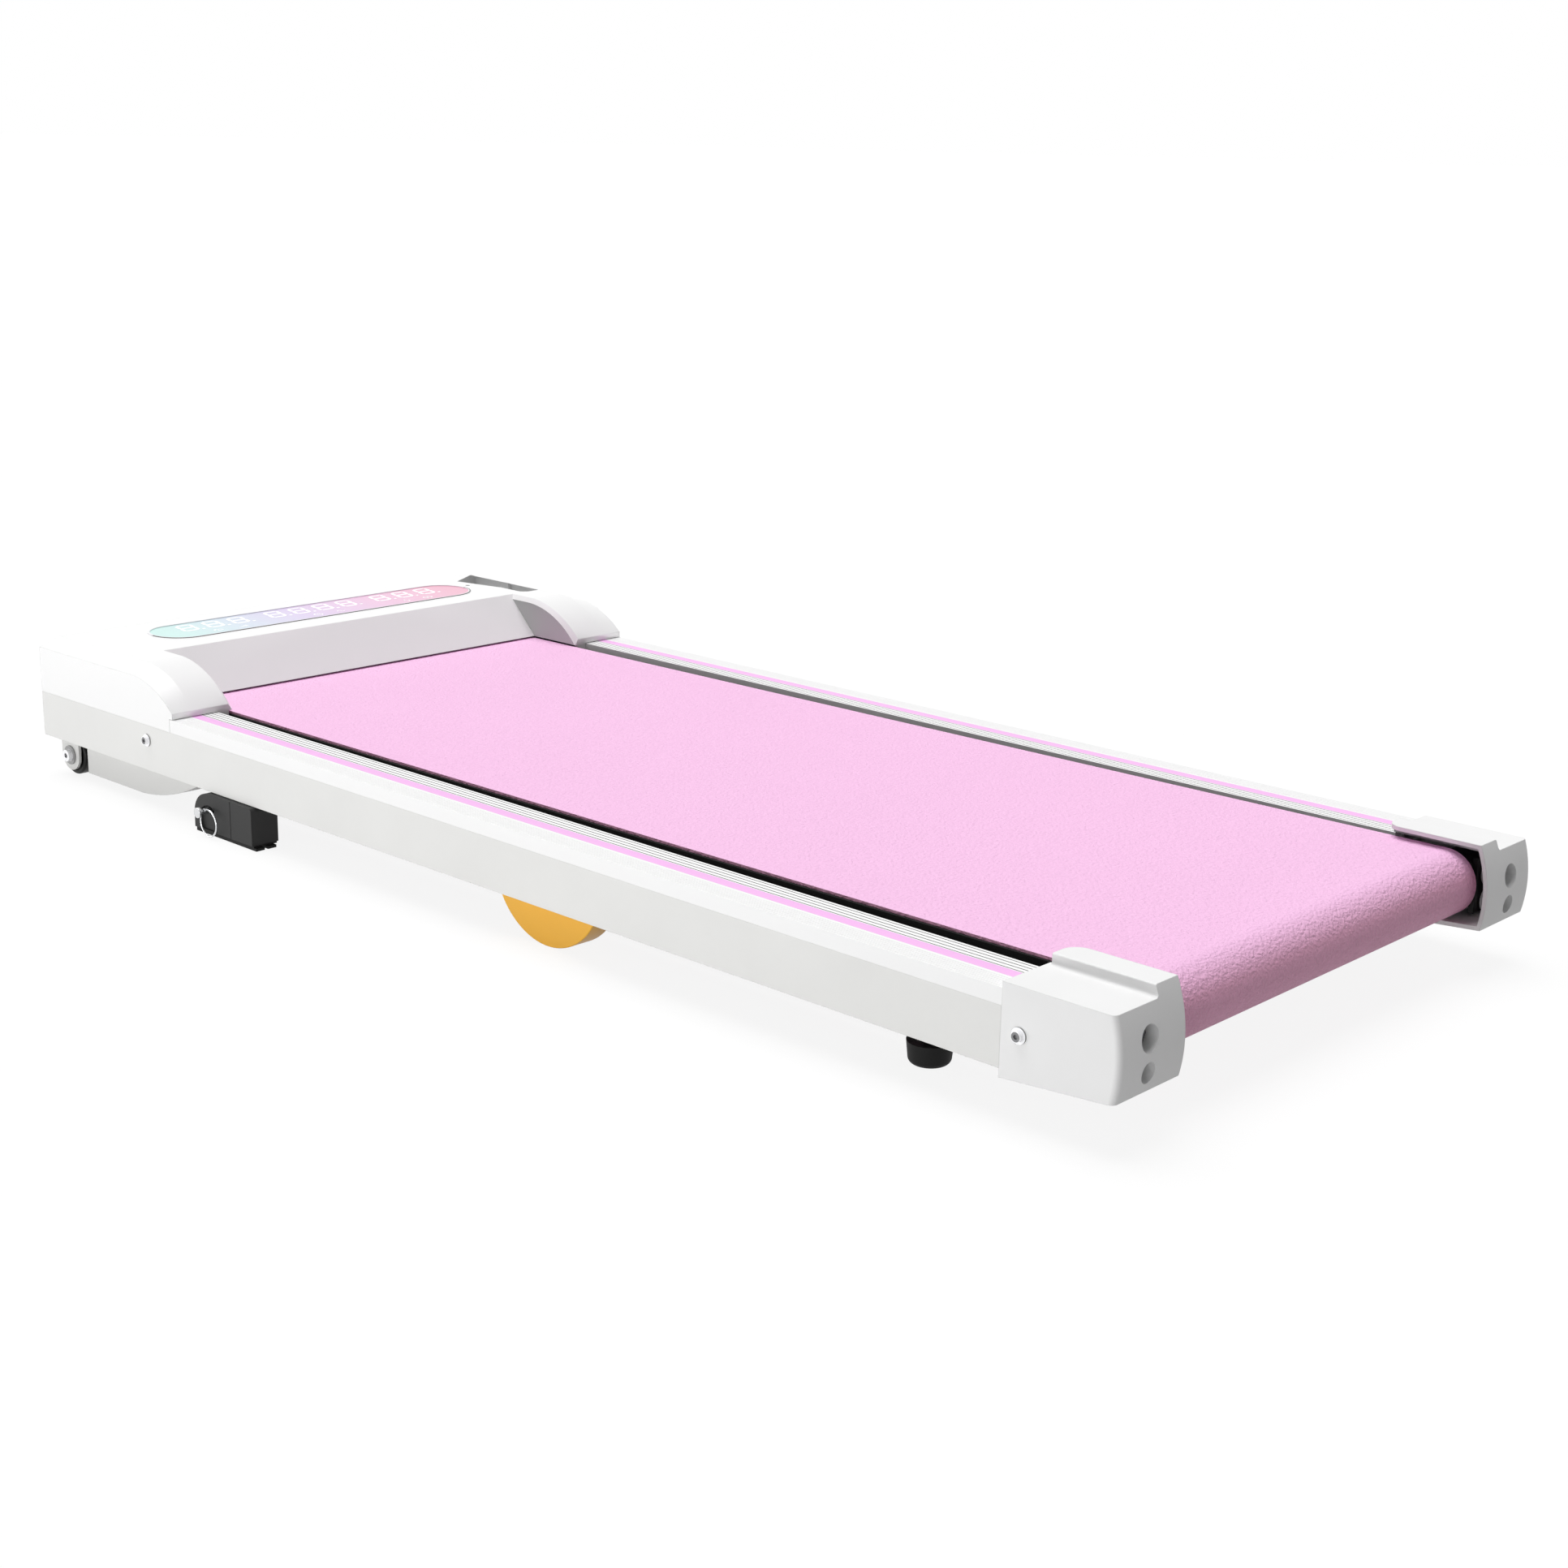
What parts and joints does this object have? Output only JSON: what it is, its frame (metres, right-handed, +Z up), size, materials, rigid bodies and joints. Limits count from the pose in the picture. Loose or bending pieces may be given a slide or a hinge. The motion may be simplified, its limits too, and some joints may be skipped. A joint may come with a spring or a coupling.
{
  "type": "walking pad",
  "caption": "Low walking pad: belt on rollers between ribbed foot rails, motor hood with pill display and remote tray, rear end caps, transport wheels, folding incline feet.",
  "frame": {"origin": "on the floor, under the middle of the machine's bounding box", "axes": "+Y along the belt towards the motor hood, +X to the walker's right when facing the hood, +Z up"},
  "size_m": [0.5316, 1.149, 0.121],
  "materials": {
    "frame_white": "satin powder coat",
    "rail_white": "satin, ribbed",
    "stripe_pink": "satin",
    "hood_white": "satin gloss",
    "cap_white": "satin",
    "belt_pink": "fine woven texture",
    "deck_black": "black film on board",
    "zinc_steel": "zinc plated",
    "bracket_black": "satin",
    "bracket_grey": "satin",
    "bright_screw": "bright zinc",
    "black_rubber": "matte",
    "wheel_black": "satin",
    "block_black": "matte",
    "support_amber": "satin",
    "pan_grey": "satin",
    "bezel_white": "gloss",
    "lens_gradient": "gloss, blue fading to pink",
    "sensor_dark": "gloss",
    "board_green": "solder mask",
    "motor_grey": "satin",
    "sink_aluminium": "bare",
    "inlet_black": "satin"
  },
  "bodies": {
    "frame": {"left_side_beam": "frame_white", "right_side_beam": "frame_white", "front_panel": "frame_white", "left_foot_rail": "rail_white", "right_foot_rail": "rail_white", "left_rail_stripe": "stripe_pink", "right_rail_stripe": "stripe_pink", "motor_hood": "hood_white", "left_end_cap": "cap_white", "right_end_cap": "cap_white", "running_belt": "belt_pink", "running_deck": "deck_black", "front_cross_beam": "zinc_steel", "middle_cross_beam": "zinc_steel", "rear_cross_beam": "zinc_steel", "rear_axle": "zinc_steel", "front_axle": "zinc_steel", "foot_brackets": "zinc_steel", "motor_mount": "zinc_steel", "roller_brackets": "bracket_black", "axle_blocks": "bracket_black", "wheel_brackets": "bracket_grey", "wheel_bolts": "bright_screw", "side_screws": "bright_screw", "cap_screws": "bright_screw", "deck_cushions": "black_rubber", "drive_belt": "black_rubber", "left_mid_support": "support_amber", "right_mid_support": "support_amber", "belly_pan": "pan_grey", "display_bezel": "bezel_white", "display_lens": "lens_gradient", "sensor_window": "sensor_dark", "display_board": "board_green", "controller_board": "board_green", "motor_body": "motor_grey", "heat_sink": "sink_aluminium", "power_inlet": "inlet_black", "switch_frame": "inlet_black"},
    "front_roller_body": {"front_roller": "zinc_steel", "front_bearings": "zinc_steel", "front_pulley": "zinc_steel"},
    "rear_roller_body": {"rear_roller": "zinc_steel", "rear_bearings": "zinc_steel"},
    "motor_rotor_body": {"motor_rotor": "zinc_steel"},
    "switch_rocker_body": {"switch_rocker": "inlet_black"},
    "left_wheel_body": {"left_transport_wheel": "wheel_black"},
    "left_incline_foot_body": {"left_incline_foot": "block_black", "left_foot_tread": "black_rubber"},
    "left_lock_pin_body": {"left_lock_pin": "bright_screw"},
    "left_pin_ring_body": {"left_pin_ring": "bright_screw"},
    "left_rear_foot_body": {"left_rear_foot": "black_rubber"},
    "left_tension_bolt_body": {"left_tension_bolt": "bright_screw"},
    "right_wheel_body": {"right_transport_wheel": "wheel_black"},
    "right_incline_foot_body": {"right_incline_foot": "block_black", "right_foot_tread": "black_rubber"},
    "right_lock_pin_body": {"right_lock_pin": "bright_screw"},
    "right_pin_ring_body": {"right_pin_ring": "bright_screw"},
    "right_rear_foot_body": {"right_rear_foot": "black_rubber"},
    "right_tension_bolt_body": {"right_tension_bolt": "bright_screw"}
  },
  "joints": [
    {"name": "front_roller_spin", "type": "hinge", "parent": "frame", "child": "front_roller_body", "pos_m": [0, 0.4695, 0.059], "axis": [1, 0, 0], "continuous": true},
    {"name": "rear_roller_spin", "type": "hinge", "parent": "frame", "child": "rear_roller_body", "pos_m": [0, -0.5385, 0.0632], "axis": [1, 0, 0], "continuous": true},
    {"name": "motor_spin", "type": "hinge", "parent": "frame", "child": "motor_rotor_body", "pos_m": [-0.19, 0.5315, 0.0725], "axis": [1, 0, 0], "continuous": true},
    {"name": "switch_rock", "type": "hinge", "parent": "frame", "child": "switch_rocker_body", "pos_m": [0.165, 0.56925, 0.055], "axis": [1, 0, 0], "range_deg": [-8, 8]},
    {"name": "left_wheel_spin", "type": "hinge", "parent": "frame", "child": "left_wheel_body", "pos_m": [-0.22825, 0.5485, 0.0195], "axis": [1, 0, 0], "continuous": true},
    {"name": "left_incline_fold", "type": "hinge", "parent": "frame", "child": "left_incline_foot_body", "pos_m": [-0.2425, 0.3145, 0.0115], "axis": [1, 0, 0], "range_deg": [0, 90]},
    {"name": "left_lock_slide", "type": "slide", "parent": "left_incline_foot_body", "child": "left_lock_pin_body", "axis": [1, 0, 0], "range_m": [0, 0.004]},
    {"name": "left_ring_swing", "type": "hinge", "parent": "left_lock_pin_body", "child": "left_pin_ring_body", "pos_m": [-0.2602, 0.3145, 0.021], "axis": [0, 0.7314, -0.682], "range_deg": [0, 100]},
    {"name": "left_rear_foot_turn", "type": "hinge", "parent": "frame", "child": "left_rear_foot_body", "pos_m": [-0.2055, -0.403, 0.02], "axis": [0, 0, 1], "continuous": true},
    {"name": "left_tension_turn", "type": "hinge", "parent": "frame", "child": "left_tension_bolt_body", "pos_m": [-0.22, -0.555, 0.0689], "axis": [0, 1, 0], "continuous": true},
    {"name": "right_wheel_spin", "type": "hinge", "parent": "frame", "child": "right_wheel_body", "pos_m": [0.22825, 0.5485, 0.0195], "axis": [1, 0, 0], "continuous": true},
    {"name": "right_incline_fold", "type": "hinge", "parent": "frame", "child": "right_incline_foot_body", "pos_m": [0.2425, 0.3145, 0.0115], "axis": [1, 0, 0], "range_deg": [0, 90]},
    {"name": "right_lock_slide", "type": "slide", "parent": "right_incline_foot_body", "child": "right_lock_pin_body", "axis": [-1, 0, 0], "range_m": [0, 0.004]},
    {"name": "right_ring_swing", "type": "hinge", "parent": "right_lock_pin_body", "child": "right_pin_ring_body", "pos_m": [0.2602, 0.3145, 0.021], "axis": [0, -0.7314, 0.682], "range_deg": [0, 100]},
    {"name": "right_rear_foot_turn", "type": "hinge", "parent": "frame", "child": "right_rear_foot_body", "pos_m": [0.2055, -0.403, 0.02], "axis": [0, 0, 1], "continuous": true},
    {"name": "right_tension_turn", "type": "hinge", "parent": "frame", "child": "right_tension_bolt_body", "pos_m": [0.22, -0.555, 0.0689], "axis": [0, 1, 0], "continuous": true}
  ],
  "couplings": [
    {"joint": "rear_roller_spin", "follows": "front_roller_spin", "ratio": 1},
    {"joint": "motor_spin", "follows": "front_roller_spin", "ratio": 2}
  ]
}
